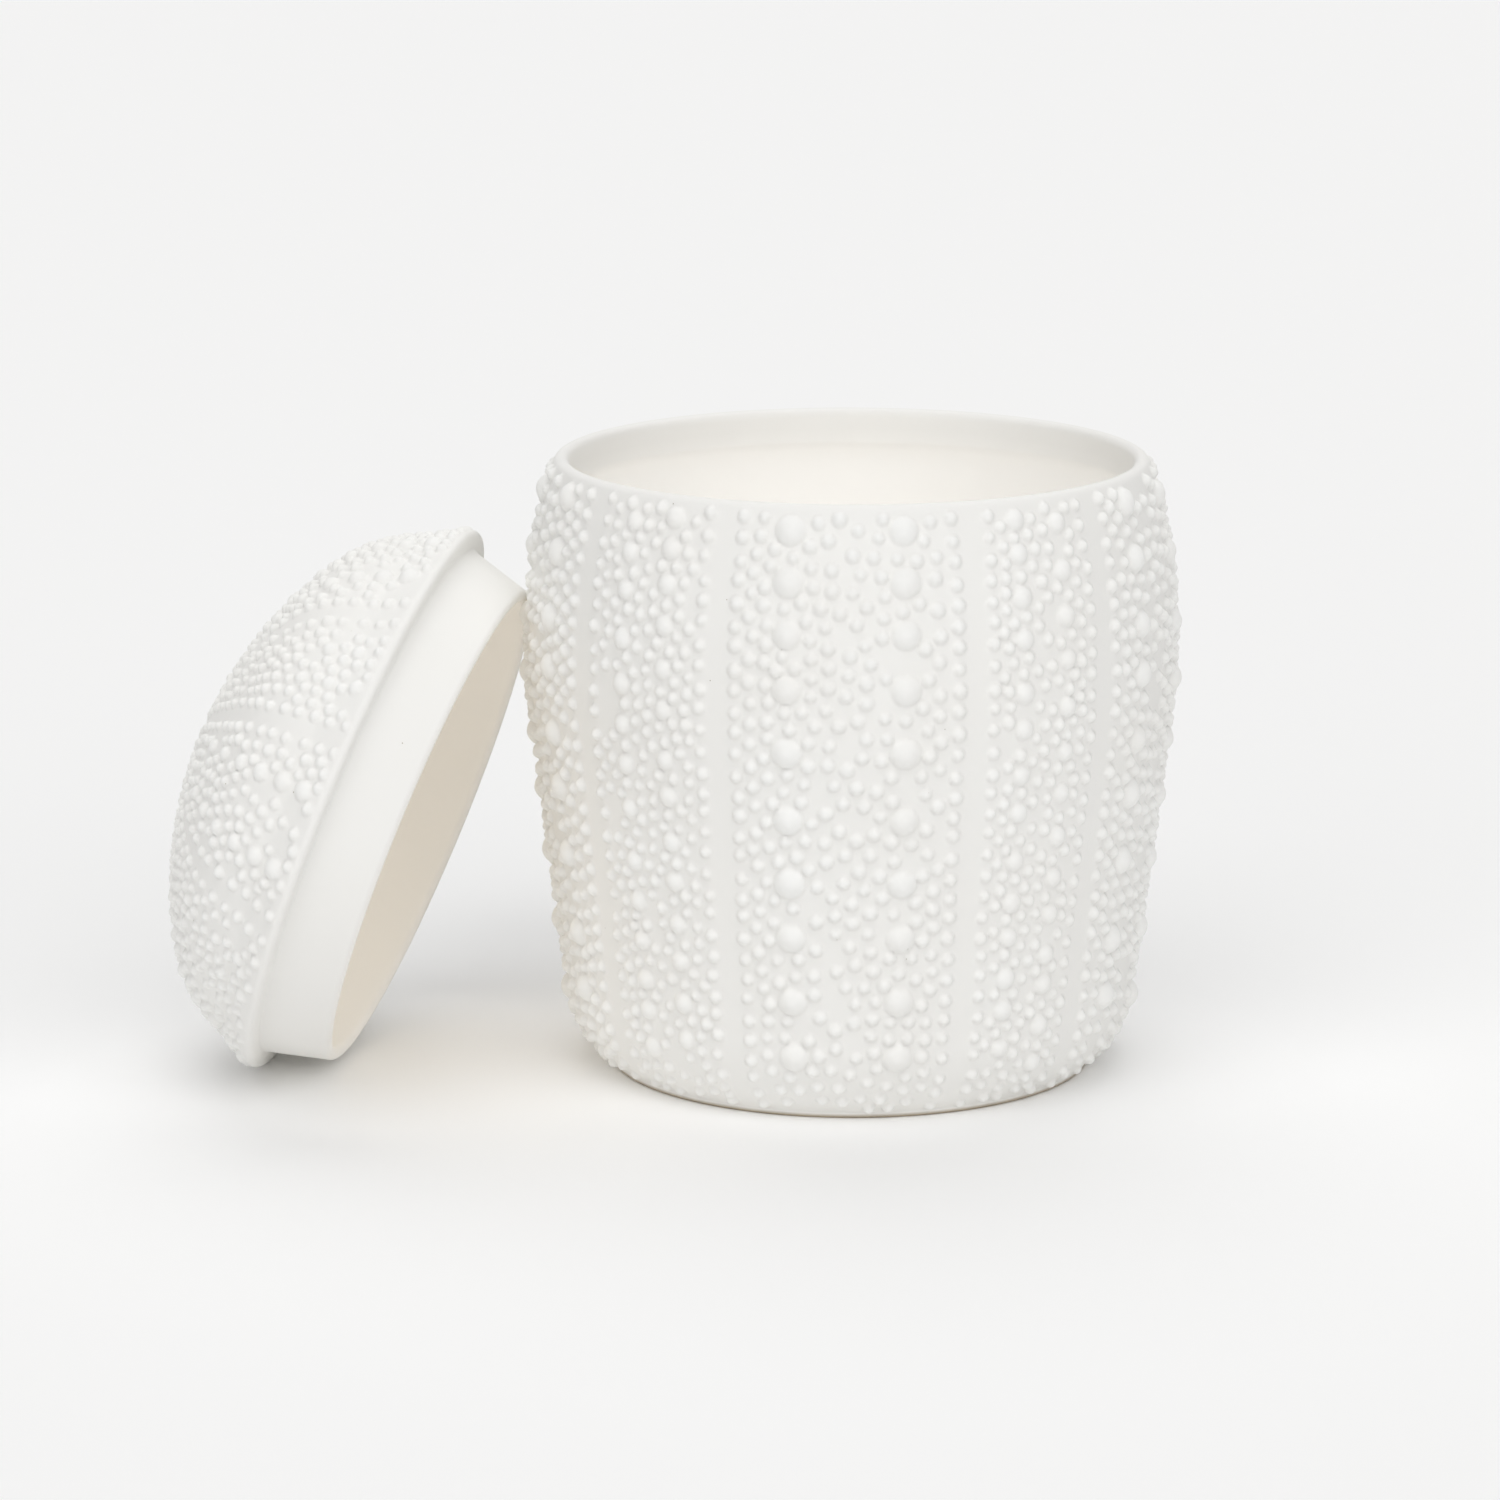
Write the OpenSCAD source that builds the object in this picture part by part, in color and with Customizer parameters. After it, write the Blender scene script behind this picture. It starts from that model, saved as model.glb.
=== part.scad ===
// A round porcelain canister with a sea-urchin relief: a jar, and its domed lid leaning on the jar's side.
// Heights start at the table, and the jar's axis is the Z axis. The lid is drawn closed side down round its own axis.

/* [Jar wall] */
// Height of the rim over the table
jar_h = 121; // [110:1:135]
// Radius of the smooth wall at its widest
belly_r = 63.3; // [61:0.1:70]
// Height of the widest part
belly_z = 85; // [78:1:92]
// Radius of the long curve that the wall follows round the widest part
belly_curve_r = 120; // [110:1:160]
// Lean of the straight lower wall, in degrees
side_lean = 7; // [5:0.5:8]
// Height at which the round heel meets the straight wall
heel_h = 15; // [13:0.5:18]
// Radius of the round heel
heel_curve_r = 20; // [19:0.5:24]
// Radius of the flat foot
foot_r = 47.5; // [46:0.1:48.5]
// Height of the foot's upright edge
foot_h = 1.2; // [0.8:0.1:1.6]
// Thickness of the jar's wall
jar_wall_t = 4; // [3:0.1:5]
// Thickness of the jar's floor
jar_floor_t = 5; // [4:0.1:8]

/* [Mouth] */
// Radius of the straight mouth inside the rim
mouth_r = 55; // [54.6:0.1:55.6]
// Depth of the straight mouth below the rim
mouth_l = 7; // [6:0.5:12]
// Height over which the mouth widens to the inner wall
mouth_step_h = 2.5; // [1.5:0.5:4]

/* [Lid] */
// Radius of the flange
flange_r = 57; // [56.6:0.1:58.2]
// Thickness of the flange, whose edge is round
flange_t = 2.4; // [2:0.1:3.2]
// Height over the flange's underside at which its flared top meets the dome
flare_h = 8; // [6:0.5:10]
// Radius of the smooth dome at its foot
dome_r = 54; // [53:0.1:54.8]
// Height of the smooth dome over the flange's underside
dome_h = 34.8; // [31:0.1:40]
// Radius of the dome's shoulder curve
shoulder_curve_r = 27; // [22:0.5:29]
// Thickness of the dome's wall
lid_wall_t = 4; // [3:0.1:4.5]
// Clearance between the collar's root and the mouth, on the radius
collar_clearance = 1.8; // [1:0.1:2.5]
// Depth of the collar below the flange
collar_l = 13.2; // [10:0.1:16]
// Amount by which the collar draws in towards its end, on the radius
collar_draw = 3.2; // [2:0.1:4]
// Thickness of the collar at its rounded end
collar_end_t = 2.8; // [2:0.1:3.2]

/* [Leaning lid] */
// Tilt of the opened lid from standing on edge, in degrees
lid_tilt = 20.8; // [15:0.1:30]
// Turn of the opened lid towards the front, in degrees
lid_turn = 9.6; // [0:0.1:20]
// Distance by which the lid's axis passes in front of the jar's axis
lid_offset = 22; // [10:0.5:26]
// Clearance between the collar's end and what it leans on
lean_gap = 0.35; // [0.3:0.05:1]

/* [Large tubercles] */
// Radius of a large tubercle on the jar
jar_tubercle_r = 2.7; // [2:0.1:3.2]
// Height of a large tubercle on the jar over the smooth wall
jar_tubercle_rise = 1.9; // [1:0.1:2.2]
// Angle between the middle of a wide band and either of its columns on the jar
jar_column_turn = 10.2; // [8:0.1:12]
// Radius of a large tubercle at the dome's foot
lid_tubercle_r = 2.2; // [1.6:0.1:2.6]
// Height of a large tubercle on the lid over the smooth dome
lid_tubercle_rise = 1.5; // [1:0.1:1.8]
// Angle between the middle of a wide band and either of its columns on the lid
lid_column_turn = 8.4; // [7:0.1:10]

/* [Middle tubercles] */
// Radius of a middle-sized tubercle on the jar
jar_middle_r = 2; // [1.6:0.1:2.2]
// Height of a middle-sized tubercle on the jar over the smooth wall
jar_middle_rise = 1.4; // [0.8:0.1:1.5]
// Angle between the middle of a narrow band and either of its columns on the jar
jar_middle_turn = 4.6; // [4:0.1:6]
// Radius of a middle-sized tubercle at the dome's foot
lid_middle_r = 1.6; // [1.2:0.1:1.8]
// Height of a middle-sized tubercle on the lid over the smooth dome
lid_middle_rise = 1.1; // [0.7:0.1:1.2]
// Angle between the middle of a narrow band and either of its columns on the lid
lid_middle_turn = 4; // [3:0.1:5]

/* [Hidden] */

revolve_fn = 180;
tubercle_fn = 24;
// Turn of each tubercle's ball about its own pole
tubercle_roll = 30;
// Steps that each round stretch of an outline is drawn in
curve_steps = 6;
rim_steps = 10;

// The wide bands' middles, counted round from the right of the jar, and their columns' rows of tubercles.
// Heights are shares of the jar's height, lower rows first.
jar_band_turns = [-167.2, -91.7, -19.3, 51, 120.8];
front_row_shares = [0.115, 0.208, 0.314, 0.405, 0.508, 0.618, 0.718, 0.804, 0.884, 0.962];
side_row_shares = [0.12, 0.234, 0.351, 0.455, 0.548, 0.649, 0.742, 0.857, 0.949];
near_row_shares = [0.159, 0.253, 0.385, 0.495, 0.584, 0.692, 0.771, 0.876, 0.963];
jar_column_rows = [
    [side_row_shares, near_row_shares],
    [front_row_shares, front_row_shares],
    [near_row_shares, side_row_shares],
    [front_row_shares, near_row_shares],
    [side_row_shares, front_row_shares],
];
// The same for the narrow bands between them.
jar_narrow_turns = [-129.5, -55.3, 16, 85.8, 156.6];
sparse_row_shares = [0.099, 0.163, 0.213, 0.279, 0.345, 0.411, 0.497, 0.57, 0.635, 0.7, 0.772, 0.848, 0.907, 0.954];
even_row_shares = [0.125, 0.186, 0.256, 0.318, 0.389, 0.454, 0.529, 0.588, 0.669, 0.734, 0.802, 0.866, 0.921, 0.968];
steady_row_shares = [0.117, 0.18, 0.233, 0.302, 0.359, 0.428, 0.507, 0.568, 0.643, 0.701, 0.785, 0.85, 0.917, 0.968];
low_row_shares = [0.08, 0.144, 0.213, 0.262, 0.33, 0.39, 0.458, 0.529, 0.597, 0.669, 0.745, 0.813, 0.884, 0.956];
jar_narrow_rows = [
    [sparse_row_shares, even_row_shares],
    [steady_row_shares, low_row_shares],
    [low_row_shares, even_row_shares],
    [sparse_row_shares, steady_row_shares],
    [even_row_shares, low_row_shares],
];
// The same on the lid, whose rows are shares of the dome's height, and the share of the size left at the top row.
lid_band_turns = [95.3, 166.3, 238, 310, 382.7];
lid_row_shares = [0.152, 0.285, 0.425, 0.56, 0.685, 0.79];
lid_narrow_turns = [130.5, 202, 274, 346, 419];
lid_narrow_row_shares = [[0.114, 0.272, 0.44, 0.587, 0.724], [0.191, 0.358, 0.537, 0.701]];
lid_top_size_share = 0.7;

// The wall's curve round the widest part, the straight wall below it and the heel.
belly_c = [belly_r - belly_curve_r, belly_z];
straight_top = belly_c + belly_curve_r * [cos(side_lean), -sin(side_lean)];
straight_foot = [straight_top.x - (straight_top.y - heel_h) * tan(side_lean), heel_h];
heel_c = straight_foot - heel_curve_r * [cos(side_lean), -sin(side_lean)];

// The rim is a round that touches the mouth, the wall's curve and the rim's height at once.
rim_across = mouth_r - belly_c.x;
rim_up = jar_h - belly_z;
rim_half_sum = rim_across - rim_up + belly_curve_r;
rim_excess = rim_across ^ 2 + rim_up ^ 2 - belly_curve_r ^ 2;
rim_round_r = sqrt(rim_half_sum ^ 2 - rim_excess) - rim_half_sum;
rim_c = [mouth_r + rim_round_r, jar_h - rim_round_r];
rim_turn = atan2(rim_c.y - belly_z, rim_c.x - belly_c.x);

// The dome's shoulder curve and the crown curve that carries it over the top.
shoulder_c = [dome_r - shoulder_curve_r, 0];
crown_curve_r = (shoulder_c.x ^ 2 + dome_h ^ 2 - shoulder_curve_r ^ 2) / (2 * (dome_h - shoulder_curve_r));
crown_c = [0, dome_h - crown_curve_r];
shoulder_turn = atan2(shoulder_c.y - crown_c.y, shoulder_c.x);
shoulder_top_z = shoulder_c.y + shoulder_curve_r * sin(shoulder_turn);

// The flange's round edge, the straight flare that leaves it on a tangent and ends on the dome, and the collar with
// its rounded end.
edge_r = flange_t / 2;
edge_c = [flange_r - edge_r, edge_r];
flare_top = [shoulder_c.x + sqrt(shoulder_curve_r ^ 2 - flare_h ^ 2), flare_h];
flare_away = flare_top - edge_c;
flare_turn = atan2(flare_away.y, flare_away.x) - acos(edge_r / norm(flare_away));
flare_foot = edge_c + edge_r * [cos(flare_turn), sin(flare_turn)];
flare_slope = (flare_top.x - flare_foot.x) / (flare_top.y - flare_foot.y);
collar_r = mouth_r - collar_clearance;
collar_end_r = collar_end_t / 2;
collar_end_c = [collar_r - collar_draw - collar_end_r, collar_end_r - collar_l];

// Points of an arc round c from one angle to another
function arc(c, r, from, to, steps) = [
    for (i = [0:steps]) let (a = from + (to - from) * i / steps) c + r * [cos(a), sin(a)]
];

function reversed(points) = [for (i = [len(points) - 1:-1:0]) points[i]];

// Angle at which a round of radius r round c comes down to height z on its outer side
function angle_at(c, r, z) = asin((z - c.y) / r);

// Radius at which a round of radius r round c has height z
function reach(c, r, z) = c.x + sqrt(r ^ 2 - (z - c.y) ^ 2);

// The wall's outline from height z up to where the belly's curve ends, set in by the depth
function wall_line(depth, z, end) = concat(
    arc(heel_c, heel_curve_r - depth, angle_at(heel_c, heel_curve_r - depth, z), -side_lean, curve_steps),
    arc(belly_c, belly_curve_r - depth, -side_lean, end, curve_steps)
);

// The dome's outline from height z up to the axis, set in by the depth
function dome_line(depth, z) = concat(
    arc(shoulder_c, shoulder_curve_r - depth, angle_at(shoulder_c, shoulder_curve_r - depth, z),
        shoulder_turn, curve_steps),
    arc(crown_c, crown_curve_r - depth, shoulder_turn, 90, curve_steps)
);

// Radius of the smooth wall at height z
function wall_r(z) =
    z > straight_top.y ? reach(belly_c, belly_curve_r, z)
    : z > heel_h ? straight_top.x - (straight_top.y - z) * tan(side_lean)
    : reach(heel_c, heel_curve_r, z);

// Centre in (radius, height) of a ball on the flare or the dome at height z, sunk by the depth
function dome_ball(z, depth) =
    let (
        c = z < shoulder_top_z ? shoulder_c : crown_c,
        r = z < shoulder_top_z ? shoulder_curve_r : crown_curve_r,
        a = angle_at(c, r, z)
    )
    z < flare_h ? [flare_foot.x + (z - flare_foot.y) * flare_slope, z] - depth * [cos(flare_turn), sin(flare_turn)]
    : c + (r - depth) * [cos(a), sin(a)];

// Turn round the axis, height, radius and rise of every tubercle on the jar, and the centre of such a ball
jar_tubercles = concat(
    [for (band = [0:len(jar_band_turns) - 1], side = [0, 1], share = jar_column_rows[band][side])
        [jar_band_turns[band] + (2 * side - 1) * jar_column_turn, share * jar_h, jar_tubercle_r, jar_tubercle_rise]],
    [for (band = [0:len(jar_narrow_turns) - 1], side = [0, 1], share = jar_narrow_rows[band][side])
        [jar_narrow_turns[band] + (2 * side - 1) * jar_middle_turn, share * jar_h, jar_middle_r, jar_middle_rise]]
);
function jar_ball(tubercle) =
    let (r = wall_r(tubercle[1]) + tubercle[3] - tubercle[2])
    [r * cos(tubercle[0]), r * sin(tubercle[0]), tubercle[1]];

// The leaning lid stands on its flange's edge. Along is level and points from the lid to the jar.
along = [cos(lid_turn), -sin(lid_turn), 0];
aside = [sin(lid_turn), cos(lid_turn), 0];
lid_z = edge_c.x * cos(lid_tilt) + edge_r - edge_c.y * sin(lid_tilt);

// A point of the collar's end, t degrees round from its top: across the lid's axis, up, and along from the lid
function end_aside(t) = collar_end_c.x * sin(t) - lid_offset;
function end_z(t) = lid_z + collar_end_c.y * sin(lid_tilt) + collar_end_c.x * cos(lid_tilt) * cos(t);
function end_along(t) = -collar_end_c.y * cos(lid_tilt) + collar_end_c.x * sin(lid_tilt) * cos(t);

// How far back the lid's centre must be for that point to clear the wall, or a ball of the jar's relief
function back_from_wall(t) =
    let (space = wall_r(end_z(t)) + collar_end_r + lean_gap)
    space > abs(end_aside(t)) ? end_along(t) + sqrt(space ^ 2 - end_aside(t) ^ 2) : 0;
function back_from_ball(t, ball, r) =
    let (
        space = r + collar_end_r + lean_gap,
        left = space ^ 2 - (end_aside(t) - ball * aside) ^ 2 - (end_z(t) - ball.z) ^ 2
    )
    left > 0 ? end_along(t) - ball * along + sqrt(left) : 0;

lean_turns = [-40:1:60];
lid_back = max(
    max([for (t = lean_turns) back_from_wall(t)]),
    max([for (t = lean_turns, tubercle = jar_tubercles) back_from_ball(t, jar_ball(tubercle), tubercle[2])])
);
lid_place = -lid_back * along - lid_offset * aside + [0, 0, lid_z];

// A ball whose pole points out from the axis, turned round that axis
module tubercle(r, turn) {
    rotate([0, 90, turn]) rotate([0, 0, tubercle_roll]) sphere(r = r, $fn = tubercle_fn);
}

// Jar: one shell, open at the top
module jar() {
    color("#f6f4ef") union() {
        rotate_extrude($fn = revolve_fn) polygon(concat(
            [[0, 0], [foot_r, 0]],
            wall_line(0, foot_h, rim_turn),
            arc(rim_c, rim_round_r, rim_turn, 180, rim_steps),
            [[mouth_r, jar_h - mouth_l]],
            reversed(wall_line(jar_wall_t, jar_floor_t, angle_at(belly_c, belly_curve_r - jar_wall_t,
                jar_h - mouth_l - mouth_step_h))),
            [[0, jar_floor_t]]
        ));
        for (tubercle = jar_tubercles)
            translate(jar_ball(tubercle)) tubercle(tubercle[2], tubercle[0]);
    }
}

// Lid round its own axis: dome, flange and collar in one shell, with the flange's underside at height 0
module lid_shell() {
    rotate_extrude($fn = revolve_fn) polygon(concat(
        arc(edge_c, edge_r, -90, flare_turn, curve_steps),
        dome_line(0, flare_h),
        reversed(dome_line(lid_wall_t, 0)),
        arc(collar_end_c, collar_end_r, -180, 0, curve_steps),
        [[collar_r, 0]]
    ));
}

// A column of tubercles up the dome, smaller towards the top
module lid_column(turn, shares, r, rise) {
    for (i = [0:len(shares) - 1]) {
        size = 1 - (1 - lid_top_size_share) * i / (len(shares) - 1);
        ball = dome_ball(shares[i] * dome_h, size * (r - rise));
        rotate([0, 0, turn]) translate([ball.x, 0, ball.y]) tubercle(size * r, 0);
    }
}

module lid_tubercles() {
    for (side = [0, 1]) {
        for (turn = lid_band_turns)
            lid_column(turn + (2 * side - 1) * lid_column_turn, lid_row_shares, lid_tubercle_r, lid_tubercle_rise);
        for (turn = lid_narrow_turns)
            lid_column(turn + (2 * side - 1) * lid_middle_turn, lid_narrow_row_shares[side], lid_middle_r,
                lid_middle_rise);
    }
}

// Lid in its place, leaning on the jar
module lid() {
    color("#f6f4ef") translate(lid_place) rotate([0, 90 - lid_tilt, 180 - lid_turn]) union() {
        lid_shell();
        lid_tubercles();
    }
}

jar();
lid();
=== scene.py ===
"""Porcelain canister with a sea-urchin relief: the open jar, and its domed lid leaning on the jar's side.

Sizes are in millimetres until a mesh is made. Jar and lid are turned forms whose outside carries a relief of
tubercles. Each is made of five closed segments that meet in the middle of plain strips of the relief.
"""

import logging
import math
from dataclasses import dataclass, field
from enum import Enum

import bpy
import numpy as np
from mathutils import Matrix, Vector


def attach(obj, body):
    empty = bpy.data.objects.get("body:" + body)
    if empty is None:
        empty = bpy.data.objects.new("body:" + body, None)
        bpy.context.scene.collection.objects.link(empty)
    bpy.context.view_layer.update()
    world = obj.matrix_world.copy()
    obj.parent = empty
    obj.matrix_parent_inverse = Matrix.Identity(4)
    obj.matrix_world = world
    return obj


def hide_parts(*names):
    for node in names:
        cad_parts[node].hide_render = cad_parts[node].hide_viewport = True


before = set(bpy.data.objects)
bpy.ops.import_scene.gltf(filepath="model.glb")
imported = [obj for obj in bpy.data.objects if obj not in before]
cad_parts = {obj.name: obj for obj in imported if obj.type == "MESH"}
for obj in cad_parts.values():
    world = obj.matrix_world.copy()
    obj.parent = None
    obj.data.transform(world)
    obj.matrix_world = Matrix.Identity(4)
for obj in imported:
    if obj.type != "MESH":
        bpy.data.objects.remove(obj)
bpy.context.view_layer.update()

LOG = logging.getLogger("canister")
MM = 0.001
LAMP_DISTANCE = 2.0  # metres: a far lamp shines the same from anywhere, so this is only where its mark stands


def linear_rgb(code: str) -> tuple[float, float, float]:
    """Turns an sRGB hex colour into linear light.

    Args:
        code: Colour such as "#f4f1ea".

    Returns:
        Red, green and blue from 0 to 1.
    """
    share = np.array([int(code[i:i + 2], 16) for i in (1, 3, 5)]) / 255
    low, high = share / 12.92, ((share + 0.055) / 1.055) ** 2.4
    return tuple(float(v) for v in np.where(share <= 0.04045, low, high))


def rgba(code: str) -> tuple[float, float, float, float]:
    """The same colour with full alpha."""
    return (*linear_rgb(code), 1.0)


# ---------------------------------------------------------------------------------------------------------------------
# Outlines


def arc(centre: tuple[float, float], radius: float, start: float, end: float, step: float = 0.1) -> np.ndarray:
    """Points of an arc: centre + radius * (cos a, sin a) for a from start to end.

    Args:
        centre: Radius and height of the arc's centre.
        radius: Radius of the arc.
        start: First angle in degrees.
        end: Last angle in degrees.
        step: Greatest distance between points.

    Returns:
        Points as rows of (radius, height).
    """
    count = max(3, int(abs(math.radians(end - start)) * radius / step) + 2)
    turn = np.radians(np.linspace(start, end, count))
    return np.stack([centre[0] + radius * np.cos(turn), centre[1] + radius * np.sin(turn)], 1)


@dataclass
class Outline:
    """Half section of a turned piece, from the axis round the outside and the inside back to the axis.

    Its points run anticlockwise with the radius to the right and the height upwards, so the outside is on their right.
    """

    points: np.ndarray

    def __post_init__(self) -> None:
        """Works out the length along the outline and the normals."""
        self.along = np.concatenate([[0], np.cumsum(np.linalg.norm(np.diff(self.points, axis=0), axis=1))])
        tangent = np.gradient(self.points, self.along, axis=0)
        tangent /= np.linalg.norm(tangent, axis=1, keepdims=True)
        self.normals = np.stack([tangent[:, 1], -tangent[:, 0]], 1)

    @classmethod
    def softened(cls, points: np.ndarray, spread: float, step: float = 0.08) -> "Outline":
        """Rounds every corner, as a slip-cast and sponged edge is.

        The outline is resampled in equal steps and each point becomes the mean of its neighbours, weighted by
        exp(-d^2 / (2 spread^2)) for the distance d along the outline. Beyond the axis it goes on as its mirror image.

        Args:
            points: Sharp outline as rows of (radius, height).
            spread: Standard deviation of the weights.
            step: Distance between the resampled points.

        Returns:
            The rounded outline.
        """
        points = points[np.concatenate([[True], np.linalg.norm(np.diff(points, axis=0), axis=1) > 1e-6])]
        along = np.concatenate([[0], np.cumsum(np.linalg.norm(np.diff(points, axis=0), axis=1))])
        even = np.linspace(0, along[-1], int(along[-1] / step))
        dense = np.stack([np.interp(even, along, points[:, i]) for i in (0, 1)], 1)
        reach = int(4 * spread / step)
        mirror = np.array([-1, 1])
        padded = np.concatenate([dense[reach:0:-1] * mirror, dense, dense[-2:-reach - 2:-1] * mirror])
        weight = np.exp(-0.5 * (np.arange(-reach, reach + 1) * step / spread) ** 2)
        weight /= weight.sum()
        smooth = np.stack([np.convolve(padded[:, i], weight, "valid") for i in (0, 1)], 1)
        smooth[[0, -1], 0] = 0
        return cls(smooth)

    def at(self, along: np.ndarray) -> tuple[np.ndarray, np.ndarray]:
        """Points and unit normals at lengths along the outline, by straight interpolation."""
        point = np.stack([np.interp(along, self.along, self.points[:, i]) for i in (0, 1)], -1)
        normal = np.stack([np.interp(along, self.along, self.normals[:, i]) for i in (0, 1)], -1)
        return point, normal / np.linalg.norm(normal, axis=-1, keepdims=True)

    def length_at(self, height: float, first: float, last: float) -> float:
        """Length along the outline at which it reaches a height, between two lengths where it only rises."""
        part = (self.along >= first) & (self.along <= last)
        return float(np.interp(height, self.points[part, 1], self.along[part]))

    def rows(self, fine: tuple[float, float], cell: float, coarse: float, turn: float = 9.0) -> np.ndarray:
        """Lengths at which rows of the mesh are laid.

        Rows lie a cell apart where the relief is. Elsewhere they lie a coarse step apart, or closer in a bend, so that
        the outline turns by no more than the given angle from row to row. The count of rows up to a point is the sum
        of 1 / spacing up to it.

        Args:
            fine: First and last length of the relief.
            cell: Spacing in the relief.
            coarse: Spacing on plain walls.
            turn: Turn between rows in degrees.

        Returns:
            Rising lengths, from 0 to the outline's whole length.
        """
        heading = np.unwrap(np.arctan2(self.normals[:, 1], self.normals[:, 0]))
        bend = np.abs(np.gradient(heading, self.along)) + 1e-6
        spacing = np.clip(math.radians(turn) / bend, cell / 2, coarse)
        spacing = np.where((self.along > fine[0]) & (self.along < fine[1]), np.minimum(spacing, cell), spacing)
        count = np.concatenate([[0], np.cumsum(np.diff(self.along) / ((spacing[1:] + spacing[:-1]) / 2))])
        return np.interp(np.linspace(0, count[-1], int(round(count[-1])) + 1), count, self.along)


@dataclass(frozen=True)
class TurnedWall:
    """The plain outside of a turned piece, on which turn round the axis and length along the outline give a point."""

    outline: Outline

    def point(self, turn: np.ndarray, along: np.ndarray) -> np.ndarray:
        """Point (r cos t, r sin t, z), where the outline gives r and z."""
        flat, _ = self.outline.at(along)
        return np.stack([flat[..., 0] * np.cos(turn), flat[..., 0] * np.sin(turn), flat[..., 1] + 0 * turn], -1)

    def radius(self, along: np.ndarray) -> np.ndarray:
        """Distance from the axis."""
        return self.outline.at(along)[0][..., 0]

    def directions(self, turn: np.ndarray, along: np.ndarray) -> tuple[np.ndarray, np.ndarray]:
        """Unit vectors on the wall, round the axis and along the outline."""
        _, normal = self.outline.at(along)
        sideways = np.stack([-np.sin(turn), np.cos(turn), 0 * turn], -1)
        inward, upward = -normal[..., 1], normal[..., 0] + 0 * turn
        onward = np.stack([inward * np.cos(turn), inward * np.sin(turn), upward], -1)
        return sideways, onward


# ---------------------------------------------------------------------------------------------------------------------
# Relief


class BandKind(Enum):
    """The two kinds of band that take turns round a sea urchin's shell."""

    WIDE = "wide"
    NARROW = "narrow"


@dataclass
class Tubercles:
    """Round bumps on a wall: place, radius of the foot and rise over the wall."""

    turn: np.ndarray
    along: np.ndarray
    radius: np.ndarray
    rise: np.ndarray

    @classmethod
    def none(cls) -> "Tubercles":
        """An empty set."""
        return cls(*(np.zeros(0) for _ in range(4)))

    def joined(self, other: "Tubercles") -> "Tubercles":
        """Both sets together."""
        mine, theirs = ((some.turn, some.along, some.radius, some.rise) for some in (self, other))
        return Tubercles(*(np.concatenate(pair) for pair in zip(mine, theirs)))

    def kept(self, keep: np.ndarray) -> "Tubercles":
        """Those that a mask names."""
        return Tubercles(self.turn[keep], self.along[keep], self.radius[keep], self.rise[keep])

    def __len__(self) -> int:
        """How many there are."""
        return len(self.turn)


@dataclass
class Band:
    """A band of the relief between two plain strips, with its two columns of larger tubercles."""

    kind: BandKind
    start: float
    end: float
    columns: Tubercles


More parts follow.
